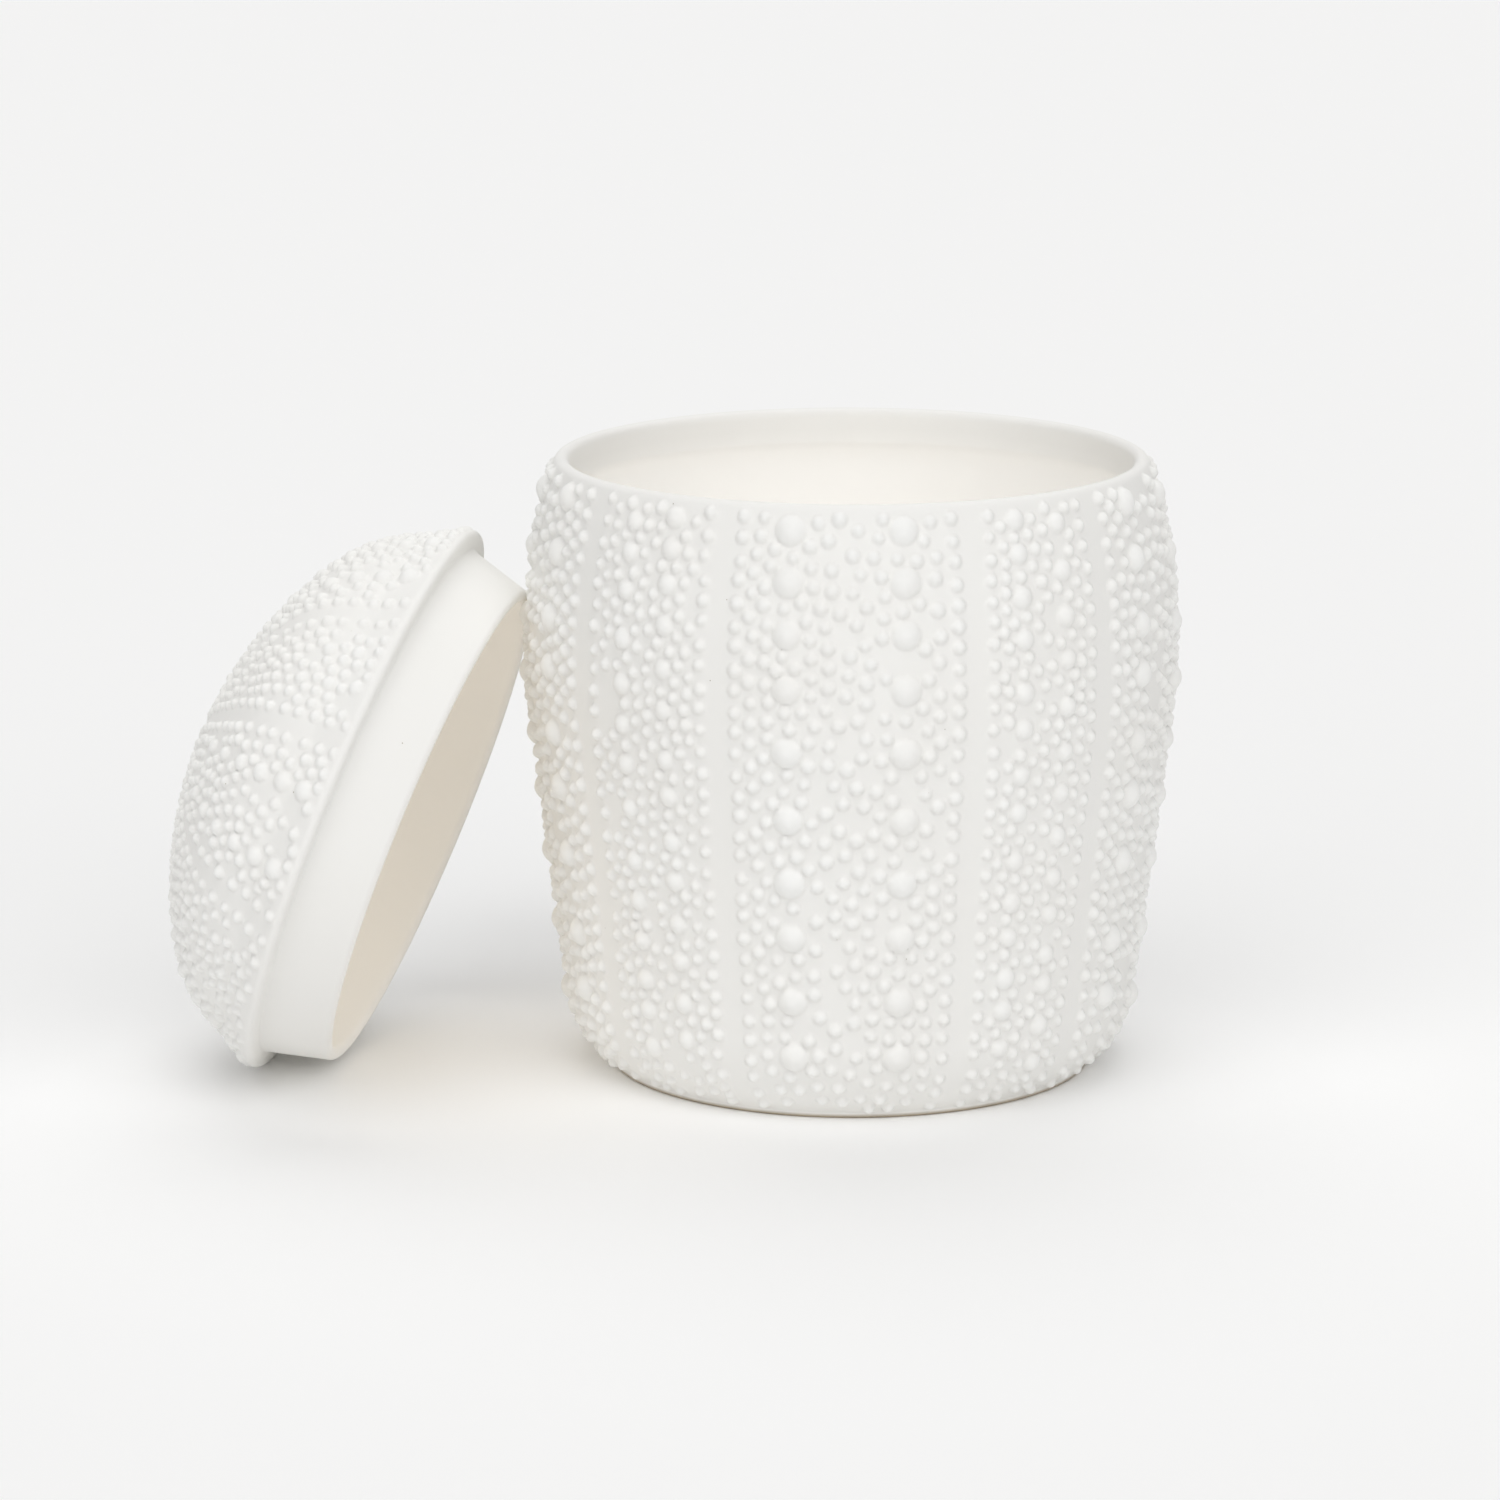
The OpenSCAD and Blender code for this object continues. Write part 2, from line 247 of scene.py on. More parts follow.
@dataclass
class Relief:
    """Lays out the tubercles of a wall, band by band, and gives the height of the relief at any point.

    Large and middle tubercles stand in two columns up each band. Small ones line both sides of each plain strip and
    are scattered between, then pushed apart until few of them touch.
    """

    wall: TurnedWall
    first: float
    last: float
    strip: float
    small_radius: tuple[float, float]
    small_rise: float
    small_share: dict[BandKind, float]
    area_each: dict[BandKind, float]
    column_pitch: float
    widest: float
    rng: np.random.Generator
    rounds: int = 40
    gap: float = 0.45
    fillet: float = 0.22
    least_radius: float = 4.0
    least_shrink: float = 0.55
    shrink_power: float = 0.35
    dome_power: float = 0.66
    round_power: float = 2.0
    pointed_power: float = 1.75
    pointed_from: float = 1.9
    bands: list[Band] = field(default_factory=list)

    def strip_half(self, along: np.ndarray) -> np.ndarray:
        """Half the strip's width, which narrows with the wall's radius r as r / widest."""
        return self.strip / 2 * (self.wall.radius(along) / self.widest)

    def small(self, kind: BandKind, turn: np.ndarray, along: np.ndarray) -> Tubercles:
        """Small tubercles at these places, of random size, finer in a narrow band and where the wall draws in."""
        low, high = self.small_radius
        drawn_in = np.clip(self.wall.radius(along) / self.widest, self.least_shrink, 1)
        shrink = drawn_in ** self.shrink_power * self.small_share[kind]
        radius = (low + (high - low) * self.rng.beta(1.6, 1.9, len(turn))) * shrink
        rise = self.small_rise * radius / (0.5 * (low + high)) * self.rng.uniform(0.9, 1.1, len(turn))
        return Tubercles(turn, along, radius, rise)

    def apart(self, some: Tubercles, others: Tubercles, least: float) -> np.ndarray:
        """Which of some stay at least a gap away from all the others, foot to foot."""
        if not len(others) or not len(some):
            return np.ones(len(some), bool)
        mine, theirs = self.wall.point(some.turn, some.along), self.wall.point(others.turn, others.along)
        space = np.linalg.norm(mine[:, None] - theirs[None], axis=2) - some.radius[:, None] - others.radius[None]
        return space.min(1) > least

    def flanks(self, band: Band) -> Tubercles:
        """The near-regular column of small tubercles along either side of a band."""
        found = Tubercles.none()
        for edge, way in ((band.start, 1), (band.end, -1)):
            count = int((self.last - self.first) / self.column_pitch)
            along = np.linspace(self.first, self.last, count) + self.rng.uniform(-0.45, 0.45, count)
            off = self.strip_half(along) + self.small_radius[1] * 0.95 + self.rng.uniform(-0.15, 0.35, count)
            turn = edge + way * off / np.maximum(self.wall.radius(along), self.least_radius)
            fits = np.abs(turn - edge) < (band.end - band.start) / 2
            found = found.joined(self.small(band.kind, turn, along).kept(fits))
        return found.kept(self.apart(found, band.columns, 0.05))

    def scattered(self, band: Band, fixed: Tubercles) -> Tubercles:
        """Small tubercles between the columns, about equally far apart.

        Their count is the band's free area over the area of each. Then each is pushed straight away from its
        neighbours, by half the length by which their distance falls short of the wanted one, which is a share of
        sqrt(area of each * 2 / sqrt(3)), the pitch of an even pattern. What still overlaps is left out.
        """
        steps = np.linspace(self.first, self.last, 400)
        radius = self.wall.radius(steps)
        held_radius = np.maximum(radius, self.least_radius)
        inset = (self.strip_half(steps) + self.small_radius[1]) / held_radius
        width = np.maximum(band.end - band.start - 2 * self.strip_half(steps) / held_radius, 0)
        area = np.concatenate([[0], np.cumsum(np.diff(steps) * (width * radius)[1:])])
        each = self.area_each[band.kind]
        large = fixed.radius > 1.3 * self.small_radius[1] * self.small_share[band.kind]
        taken = np.sum((fixed.radius[large] + 0.5) ** 2) * math.pi + each * np.sum(~large)
        count = int(max(area[-1] - taken, 0) / each)
        if not count:
            return Tubercles.none()
        along = np.interp((np.arange(count) + self.rng.uniform(0, 1, count)) / count * area[-1], area, steps)
        low, high = (np.interp(along, steps, v) for v in (band.start + inset, band.end - inset))
        loose = self.small(band.kind, low + (high - low) * self.rng.uniform(0, 1, count), along)
        held = self.wall.point(fixed.turn, fixed.along)
        pitch = math.sqrt(each * 2 / math.sqrt(3)) * self.rng.uniform(0.86, 1.02, count)
        near_held = (np.where(large, fixed.radius + self.gap, 0)[None]
                     + np.where(large[None], loose.radius[:, None], pitch[:, None]))
        wanted = np.concatenate([(pitch[:, None] + pitch[None]) / 2, near_held], 1)
        share = np.where(np.arange(wanted.shape[1]) < count, 0.45, 0.8)
        for _ in range(self.rounds):
            place = self.wall.point(loose.turn, loose.along)
            away = place[:, None] - np.concatenate([place, held])[None]
            far = np.linalg.norm(away, axis=2) + 1e-9
            push = np.clip(wanted - far, 0, None) / far * share
            push[np.arange(count), np.arange(count)] = 0
            move = np.clip((push[..., None] * away).sum(1), -1.0, 1.0)
            sideways, onward = self.wall.directions(loose.turn, loose.along)
            turn = loose.turn + (move * sideways).sum(1) / np.maximum(self.wall.radius(loose.along), self.least_radius)
            loose.along = np.clip(loose.along + (move * onward).sum(1), self.first, self.last)
            low, high = (np.interp(loose.along, steps, v) for v in (band.start + inset, band.end - inset))
            loose.turn = np.clip(turn, low, high)
        loose = loose.kept(self.apart(loose, fixed, -0.12))
        place = self.wall.point(loose.turn, loose.along)
        close = np.linalg.norm(place[:, None] - place[None], axis=2) - loose.radius[:, None] - loose.radius[None] < -0.3
        return loose.kept(~np.tril(close, -1).any(1))

    def laid_out(self) -> Tubercles:
        """Every tubercle of every band."""
        found = Tubercles.none()
        for band in self.bands:
            fixed = band.columns.joined(self.flanks(band))
            found = found.joined(fixed).joined(self.scattered(band, fixed))
        return found

    def heights(self, tubercles: Tubercles, turn: np.ndarray, along: np.ndarray) -> np.ndarray:
        """Height of the relief on a grid of turns and lengths.

        A tubercle of foot radius a and rise h stands h * (1 - q^p) ^ d over the wall at the share q of a from its
        middle. The dome's power d is near 2/3, and p is 2, or a little less for a large one, which is slightly
        pointed. A small fillet of width k joins it to the wall: the height x becomes (x + k)^2 / (4 k) where x is
        between -k and k.

        Args:
            tubercles: The tubercles to raise.
            turn: Rising turns of the grid's columns.
            along: Rising lengths of the grid's rows.

        Returns:
            Heights, one row of the array for each length.
        """
        place = self.wall.point(turn[None], along[:, None])
        height = np.zeros(place.shape[:2])
        middle = self.wall.point(tubercles.turn, tubercles.along)
        reach = tubercles.radius * 1.35 + 0.2
        wide = reach / np.maximum(self.wall.radius(tubercles.along) - reach, 0.5)
        top, bottom = (np.searchsorted(along, tubercles.along + way * reach) for way in (-1, 1))
        left, right = (np.searchsorted(turn, tubercles.turn + way * wide) for way in (-1, 1))
        for i in np.nonzero((bottom > top) & (right > left))[0]:
            window = (slice(top[i], bottom[i]), slice(left[i], right[i]))
            share = np.linalg.norm(place[window] - middle[i], axis=2) / tubercles.radius[i]
            power = self.round_power if tubercles.radius[i] < self.pointed_from else self.pointed_power
            inner = 1 - share ** power
            bump = tubercles.rise[i] * np.sign(inner) * np.abs(inner) ** self.dome_power
            filleted = (bump + self.fillet) ** 2 / (4 * self.fillet)
            joined = np.where(np.abs(bump) < self.fillet, filleted, np.maximum(bump, 0))
            height[window] = np.maximum(height[window], joined)
        return height


# ---------------------------------------------------------------------------------------------------------------------
# Meshes


def closed_mesh(name: str, points: np.ndarray, faces: list[np.ndarray], flat: list[bool]) -> bpy.types.Mesh:
    """Makes a mesh from arrays.

    Args:
        name: Name of the mesh.
        points: Corners in metres.
        faces: Arrays of corner numbers, one face to a row.
        flat: For each array, whether its faces are flat-shaded.

    Returns:
        The mesh.
    """
    sizes = np.concatenate([np.full(len(part), part.shape[1]) for part in faces])
    mesh = bpy.data.meshes.new(name)
    mesh.vertices.add(len(points))
    mesh.vertices.foreach_set("co", points.astype(np.float32).ravel())
    mesh.loops.add(int(sizes.sum()))
    mesh.loops.foreach_set("vertex_index", np.concatenate([part.ravel() for part in faces]).astype(np.int32))
    mesh.polygons.add(len(sizes))
    mesh.polygons.foreach_set("loop_start", np.concatenate([[0], np.cumsum(sizes)[:-1]]).astype(np.int32))
    smooth = np.concatenate([np.full(len(part), not is_flat) for part, is_flat in zip(faces, flat)])
    mesh.polygons.foreach_set("use_smooth", smooth)
    mesh.update(calc_edges=True)
    mesh.validate()
    return mesh


def segment_faces(rows: int, columns: int) -> tuple[list[np.ndarray], list[bool]]:
    """Faces of a closed segment: a grid of quads, a fan at either end on the axis, and a flat cap on either side.

    Corner numbers run row by row. The two corners on the axis come last.

    Args:
        rows: Rows between the two ends on the axis.
        columns: Columns from side to side.

    Returns:
        Arrays of faces, and which of them are flat-shaded.
    """
    number = np.arange(rows * columns).reshape(rows, columns)
    first, last = rows * columns, rows * columns + 1
    quads = np.stack([number[:-1, :-1], number[:-1, 1:], number[1:, 1:], number[1:, :-1]], -1).reshape(-1, 4)
    start = np.stack([np.full(columns - 1, first), number[0, 1:], number[0, :-1]], -1)
    end = np.stack([number[-1, :-1], number[-1, 1:], np.full(columns - 1, last)], -1)
    near = np.concatenate([[first], number[:, 0], [last]])[None]
    far = np.concatenate([[last], number[::-1, -1], [first]])[None]
    return [quads, start, end, near, far], [False, False, False, True, True]


@dataclass
class TurnedShell:
    """A turned shell with a relief, cut into closed segments.

    A point of the grid is wall point + relief height * wall normal.
    """

    name: str
    outline: Outline
    relief: Relief
    inside_from: float
    inside_to: float
    matrix: np.ndarray
    place: np.ndarray
    cell: float = 0.4
    coarse: float = 2.5
    relief_margin: float = 2.5
    sliver_w: float = 0.02

    def segment(self, number: int, start: float, end: float, tubercles: Tubercles) -> bpy.types.Object:
        """Builds one segment between two turns round the axis.

        Its outer columns are very narrow, so that both neighbours have the same normals where they meet.

        Args:
            number: Number that goes into its name.
            start: First turn in radians.
            end: Last turn in radians.
            tubercles: All the tubercles of the relief.

        Returns:
            The finished object.
        """
        relief = self.relief
        reach = (relief.first - self.relief_margin, relief.last + self.relief_margin)
        along = self.outline.rows(reach, self.cell, self.coarse)[1:-1]
        sliver = self.sliver_w / relief.widest
        inner = np.linspace(start + sliver, end - sliver, int((end - start) * relief.widest / self.cell))
        turn = np.concatenate([[start], inner, [end]])
        flat, normal = self.outline.at(along)
        height = np.zeros((len(along), len(turn)))
        rows = (along > reach[0]) & (along < reach[1])
        mine = (tubercles.turn > start) & (tubercles.turn < end)
        height[rows] = relief.heights(tubercles.kept(mine), turn, along[rows])
        radius = flat[:, 0, None] + height * normal[:, 0, None]
        level = flat[:, 1, None] + height * normal[:, 1, None]
        points = np.stack([radius * np.cos(turn), radius * np.sin(turn), level], -1)
        ends = np.stack([[0, 0, self.outline.points[i, 1]] for i in (0, -1)])
        points = np.concatenate([points.reshape(-1, 3), ends]) @ self.matrix.T + self.place
        faces, flat_shaded = segment_faces(len(along), len(turn))
        mesh = closed_mesh(f"{self.name}_segment_{number}", points * MM, faces, flat_shaded)
        within = np.clip(np.minimum(along - self.inside_from, self.inside_to - along) / 3 + 0.5, 0, 1)
        for title, values in (("relief", height), ("inside", np.repeat(within[:, None], len(turn), 1))):
            attribute = mesh.attributes.new(title, "FLOAT", "POINT")
            attribute.data.foreach_set("value", np.concatenate([values.ravel(), values[[0, -1], 0]]).astype(np.float32))
        piece = bpy.data.objects.new(mesh.name, mesh)
        bpy.context.scene.collection.objects.link(piece)
        return piece

    def pieces(self) -> list[bpy.types.Object]:
        """All segments, each from the strip before a wide band to the next such strip."""
        tubercles = self.relief.laid_out()
        starts = [band.start for band in self.relief.bands if band.kind is BandKind.WIDE]
        ends = starts[1:] + [starts[0] + 2 * math.pi]
        made = [self.segment(i + 1, *turns, tubercles) for i, turns in enumerate(zip(starts, ends))]
        LOG.info("%s: %d tubercles, %d faces", self.name, len(tubercles), sum(len(o.data.polygons) for o in made))
        return made


# ---------------------------------------------------------------------------------------------------------------------
# Finishes


def add_node(tree: bpy.types.NodeTree, kind: str, settings: dict | None = None,
             links: dict | None = None) -> bpy.types.Node:
    """Adds a node with its settings and the links that come into it.

    Args:
        tree: Tree that gets the node.
        kind: Blender's name of the node type.
        settings: Values, where a key with a leading "." is the node's own property and any other is an input.
        links: Output sockets by the name or number of the input that each goes to.

    Returns:
        The node.
    """
    node = tree.nodes.new(kind)
    for key, value in (settings or {}).items():
        if isinstance(key, str) and key.startswith("."):
            setattr(node, key[1:], value)
        else:
            node.inputs[key].default_value = value
    for key, socket in (links or {}).items():
        tree.links.new(socket, node.inputs[key])
    return node


def new_material(name: str) -> tuple[bpy.types.Material, bpy.types.NodeTree]:
    """An empty node material and its tree."""
    material = bpy.data.materials.new(name)
    material.use_nodes = True
    material.node_tree.nodes.clear()
    return material, material.node_tree


@dataclass(frozen=True)
class BisquePorcelain:
    """Slip-cast porcelain, fired without a glaze.

    It is a near-white body that light soaks into a little, matt and as fine as eggshell to the eye. Sizes are in
    millimetres.
    """

    name: str
    body: str = "#f5f5f3"
    # The next colour is painted shade, for the low ground between the tubercles.
    cloud: str = "#f3f2ef"
    hollow_shade: str = "#f0efec"
    inner: str = "#fefdfb"
    # The foot colour is painted shadow: the dark line where the foot meets the floor.
    foot: str = "#b3a692"
    pinhole: str = "#b5ada0"
    roughness: float = 0.8
    specular: float = 0.25
    cloud_size: float = 22.0
    grain_size: float = 0.55
    pinhole_pitch: float = 3.4
    pinhole_size: float = 0.16
    pinhole_share: float = 0.14
    grain_depth: float = 0.012
    pinhole_depth: float = 0.08
    foot_shadow_height: float = 0.0

    def material(self) -> bpy.types.Material:
        """Builds the node tree.

        Returns:
            The finished material.
        """
        material, tree = new_material(self.name)
        place = add_node(tree, "ShaderNodeTexCoord").outputs["Object"]
        # Broad, faint clouds, where the slip dried and fired unevenly.
        clouds = add_node(tree, "ShaderNodeTexNoise",
                          {"Scale": 1 / (self.cloud_size * MM), "Detail": 3.0, "Roughness": 0.5},
                          {"Vector": place}).outputs["Fac"]
        # The tooth of the bare body. It is drawn coarser than the real few hundredths of a millimetre, so that it
        # shows.
        grain = add_node(tree, "ShaderNodeTexNoise",
                         {"Scale": 1 / (self.grain_size * MM), "Detail": 2.0, "Roughness": 0.6},
                         {"Vector": place}).outputs["Fac"]
        # Pinholes: the middle of a Voronoi cell, in the few cells whose random value is high.
        cells = add_node(tree, "ShaderNodeTexVoronoi", {"Scale": 1 / (self.pinhole_pitch * MM)}, {"Vector": place})
        size = self.pinhole_size / self.pinhole_pitch
        spot = add_node(tree, "ShaderNodeMapRange",
                        {"From Min": size * 0.5, "From Max": size, "To Min": 1.0, "To Max": 0.0},
                        {"Value": cells.outputs["Distance"]}).outputs["Result"]
        parts = add_node(tree, "ShaderNodeSeparateColor", links={"Color": cells.outputs["Color"]})
        chosen = add_node(tree, "ShaderNodeMath", {".operation": "GREATER_THAN", 1: 1 - self.pinhole_share},
                          {0: parts.outputs["Red"]})
        hole = add_node(tree, "ShaderNodeMath", {".operation": "MULTIPLY"}, {0: spot, 1: chosen.outputs[0]}).outputs[0]
        # Where the relief is low, between the tubercles and on the plain wall, the colour is painted a little darker
        # and
        # warmer: painted shade in the hollows. Inside, it is painted lighter, for the light that comes through the
        # wall.
        raised = add_node(tree, "ShaderNodeAttribute", {".attribute_name": "relief"}).outputs["Fac"]
        within = add_node(tree, "ShaderNodeAttribute", {".attribute_name": "inside"}).outputs["Fac"]
        level = add_node(tree, "ShaderNodeMapRange", {"From Min": 0.0, "From Max": 0.9, "To Min": 0.75, "To Max": 0.0},
                         {"Value": raised}).outputs["Result"]
        cloudy = add_node(tree, "ShaderNodeMapRange", {"From Min": 0.35, "From Max": 0.7},
                          {"Value": clouds}).outputs["Result"]
        colour = self.mixed(tree, cloudy, rgba(self.body), rgba(self.cloud))
        colour = self.mixed(tree, level, colour, rgba(self.hollow_shade))
        colour = self.mixed(tree, within, colour, rgba(self.inner))
        colour = self.mixed(tree, hole, colour, rgba(self.pinhole))
        if self.foot_shadow_height:
            # Painted contact shadow: below this height the foot, its underside too, is painted brown, as the dark line
            # of shade where the foot meets the floor.
            height = add_node(tree, "ShaderNodeSeparateXYZ", links={"Vector": place}).outputs["Z"]
            foot_shadow_share = add_node(tree, "ShaderNodeMapRange",
                            {"From Min": self.foot_shadow_height * MM, "From Max": 0.3 * self.foot_shadow_height * MM},
                            {"Value": height}).outputs["Result"]
            colour = self.mixed(tree, foot_shadow_share, colour, rgba(self.foot))
        rough = add_node(tree, "ShaderNodeMapRange", {"To Min": self.roughness - 0.06, "To Max": self.roughness + 0.06},
                         {"Value": grain}).outputs["Result"]
        bumped = add_node(tree, "ShaderNodeBump", {"Strength": 0.8, "Distance": self.grain_depth * MM},
                          {"Height": grain})
        holed = add_node(tree, "ShaderNodeBump",
                         {".invert": True, "Strength": 0.8, "Distance": self.pinhole_depth * MM},
                         {"Height": hole, "Normal": bumped.outputs[0]})
        shader = add_node(tree, "ShaderNodeBsdfPrincipled", {"IOR": 1.5, "Specular IOR Level": self.specular},
                          {"Base Color": colour, "Roughness": rough, "Normal": holed.outputs[0]})
        add_node(tree, "ShaderNodeOutputMaterial", links={"Surface": shader.outputs[0]})
        return material

    @staticmethod
    def mixed(tree: bpy.types.NodeTree, share: bpy.types.NodeSocket, low: object,
              high: object) -> bpy.types.NodeSocket:
        """Mixes two colours by a share. Either colour is a socket or four numbers."""
        node = add_node(tree, "ShaderNodeMix", {".data_type": "RGBA"}, {0: share})
        for number, value in ((6, low), (7, high)):
            if isinstance(value, bpy.types.NodeSocket):
                tree.links.new(value, node.inputs[number])
            else:
                node.inputs[number].default_value = value
        return node.outputs[2]


@dataclass(frozen=True)
class PaperFloor:
    """The pale seamless paper that the canister stands on, plain and matt."""

    name: str = "seamless_paper"
    colour: str = "#fbfbfb"

    def material(self) -> bpy.types.Material:
        """Builds the node tree."""
        material, tree = new_material(self.name)
        shader = add_node(tree, "ShaderNodeBsdfDiffuse", {"Color": rgba(self.colour)})
        add_node(tree, "ShaderNodeOutputMaterial", links={"Surface": shader.outputs[0]})
        return material


# ---------------------------------------------------------------------------------------------------------------------
# The canister's two pieces


@dataclass
class Jar:
    """The jar: a barrel-shaped wall with a round heel, a plain rounded rim and a straight mouth inside it."""

    height: float = 121.0
    belly_r: float = 63.3
    belly_z: float = 85.0
    belly_curve_r: float = 120.0
    side_lean: float = 7.0
    heel_h: float = 15.0
    heel_curve_r: float = 20.0
    foot_r: float = 47.5
    foot_h: float = 1.2
    wall_t: float = 4.0
    floor_t: float = 5.0
    mouth_r: float = 55.0
    mouth_l: float = 7.0
    mouth_step_h: float = 2.5
    corner_spread: float = 0.4
    large_radius: float = 2.85
    large_rise: float = 1.9
    large_turn: float = 10.2
    middle_radius: float = 2.05
    middle_rise: float = 1.45
    middle_turn: float = 4.6
    strips: tuple[float, ...] = (-189.7, -144.7, -114.3, -69.0, -41.6, 3.0, 29.5, 72.5, 99.0, 142.5)
    band_turns: tuple[float, ...] = (-167.2, -91.7, -19.3, 51.0, 120.8)
    front_rows: tuple[float, ...] = (0.115, 0.208, 0.314, 0.405, 0.508, 0.618, 0.718, 0.804, 0.884, 0.962)
    side_rows: tuple[float, ...] = (0.12, 0.234, 0.351, 0.455, 0.548, 0.649, 0.742, 0.857, 0.949)
    near_rows: tuple[float, ...] = (0.159, 0.253, 0.385, 0.495, 0.584, 0.692, 0.771, 0.876, 0.963)
    narrow_turns: tuple[float, ...] = (-129.5, -55.3, 16.0, 85.8, 156.6)
    sparse_rows: tuple[float, ...] = (
        0.099, 0.163, 0.213, 0.279, 0.345, 0.411, 0.497, 0.57, 0.635, 0.7, 0.772, 0.848, 0.907, 0.954)
    even_rows: tuple[float, ...] = (
        0.125, 0.186, 0.256, 0.318, 0.389, 0.454, 0.529, 0.588, 0.669, 0.734, 0.802, 0.866, 0.921, 0.968)
    steady_rows: tuple[float, ...] = (
        0.117, 0.18, 0.233, 0.302, 0.359, 0.428, 0.507, 0.568, 0.643, 0.701, 0.785, 0.85, 0.917, 0.968)
    low_rows: tuple[float, ...] = (
        0.08, 0.144, 0.213, 0.262, 0.33, 0.39, 0.458, 0.529, 0.597, 0.669, 0.745, 0.813, 0.884, 0.956)
    relief_low: float = 2.6
    relief_below_rim: float = 2.5
    strip_w: float = 4.3
    small_radius: tuple[float, float] = (1.16, 1.5)
    small_rise: float = 1.2
    narrow_share: float = 0.93
    wide_area: float = 13.8
    narrow_area: float = 10.6
    column_pitch: float = 3.9
    seed: int = 11

    def outline(self) -> Outline:
        """The half section: foot, heel arc, straight side, belly arc, rim round, mouth, and the same inside."""
        lean = math.radians(self.side_lean)
        aside = np.array([math.cos(lean), -math.sin(lean)])
        belly = np.array([self.belly_r - self.belly_curve_r, self.belly_z])
        top = belly + self.belly_curve_r * aside
        foot = np.array([top[0] - (top[1] - self.heel_h) * math.tan(lean), self.heel_h])
        heel = foot - self.heel_curve_r * aside
        across, up = self.mouth_r - belly[0], self.height - self.belly_z
        half_sum = across - up + self.belly_curve_r
        rim_r = math.sqrt(half_sum ** 2 - (across ** 2 + up ** 2 - self.belly_curve_r ** 2)) - half_sum
        rim = (self.mouth_r + rim_r, self.height - rim_r)
        rim_turn = math.degrees(math.atan2(rim[1] - belly[1], rim[0] - belly[0]))

        def wall(depth: float, low: float, end: float) -> np.ndarray:
            """The heel and belly arcs, set in by the depth, from height low up to the belly's angle end."""
            start = math.degrees(math.asin((low - heel[1]) / (self.heel_curve_r - depth)))
            return np.concatenate([arc(heel, self.heel_curve_r - depth, start, -self.side_lean),
                                   arc(belly, self.belly_curve_r - depth, -self.side_lean, end)])

        inner_top = math.degrees(math.asin((self.height - self.mouth_l - self.mouth_step_h - belly[1])
                                           / (self.belly_curve_r - self.wall_t)))
        return Outline.softened(np.concatenate([
            [[0, 0], [self.foot_r, 0]], wall(0, self.foot_h, rim_turn), arc(rim, rim_r, rim_turn, 180),
            [[self.mouth_r, self.height - self.mouth_l]], wall(self.wall_t, self.floor_t, inner_top)[::-1],
            [[0, self.floor_t]],
        ]), self.corner_spread)

    def columns(self, wall: TurnedWall, middle: float, turn: float, rows: tuple, size: tuple[float, float],
                limits: tuple[float, float], rng: np.random.Generator) -> Tubercles:
        """Two columns of tubercles either side of a band's middle, at heights given as shares of the jar's."""
        turns = np.concatenate([np.full(len(row), math.radians(middle + way * turn))
                                for row, way in zip(rows, (-1, 1))])
        along = np.array([wall.outline.length_at(share * self.height, *limits) for row in rows for share in row])
        vary = rng.uniform(0.95, 1.06, len(turns))
        return Tubercles(turns, along, size[0] * vary, size[1] * vary)

    def build(self) -> list[bpy.types.Object]:
        """Lays out the relief and builds the segments."""
        rng = np.random.default_rng(self.seed)
        outline = self.outline()
        wall = TurnedWall(outline)
        crest = float(outline.along[np.argmax(outline.points[:, 1])])
        limits = (self.foot_r + 0.5, crest)
        reach = [outline.length_at(z, *limits) for z in (self.relief_low, self.height - self.relief_below_rim)]
        relief = Relief(wall, *reach, strip=self.strip_w, small_radius=self.small_radius, small_rise=self.small_rise,
                        small_share={BandKind.WIDE: 1.0, BandKind.NARROW: self.narrow_share},
                        area_each={BandKind.WIDE: self.wide_area, BandKind.NARROW: self.narrow_area},
                        column_pitch=self.column_pitch, widest=self.belly_r, rng=rng)
        edges = np.radians(self.strips + (self.strips[0] + 360,))
        rows = [(self.side_rows, self.near_rows), (self.front_rows, self.front_rows), (self.near_rows, self.side_rows),
                (self.front_rows, self.near_rows), (self.side_rows, self.front_rows)]
        narrow = [(self.sparse_rows, self.even_rows), (self.steady_rows, self.low_rows),
                  (self.low_rows, self.even_rows), (self.sparse_rows, self.steady_rows),
                  (self.even_rows, self.low_rows)]
        for i in range(5):
            large = self.columns(wall, self.band_turns[i], self.large_turn, rows[i],
                                 (self.large_radius, self.large_rise), limits, rng)
            relief.bands.append(Band(BandKind.WIDE, edges[2 * i], edges[2 * i + 1], large))
            medium = self.columns(wall, self.narrow_turns[i], self.middle_turn, narrow[i],
                                  (self.middle_radius, self.middle_rise), limits, rng)
            relief.bands.append(Band(BandKind.NARROW, edges[2 * i + 1], edges[2 * i + 2], medium))
        inside = crest + 8.0
        shell = TurnedShell("jar", outline, relief, inside_from=inside, inside_to=float(outline.along[-1]) + 9,
                            matrix=np.eye(3), place=np.zeros(3))
        return shell.pieces()


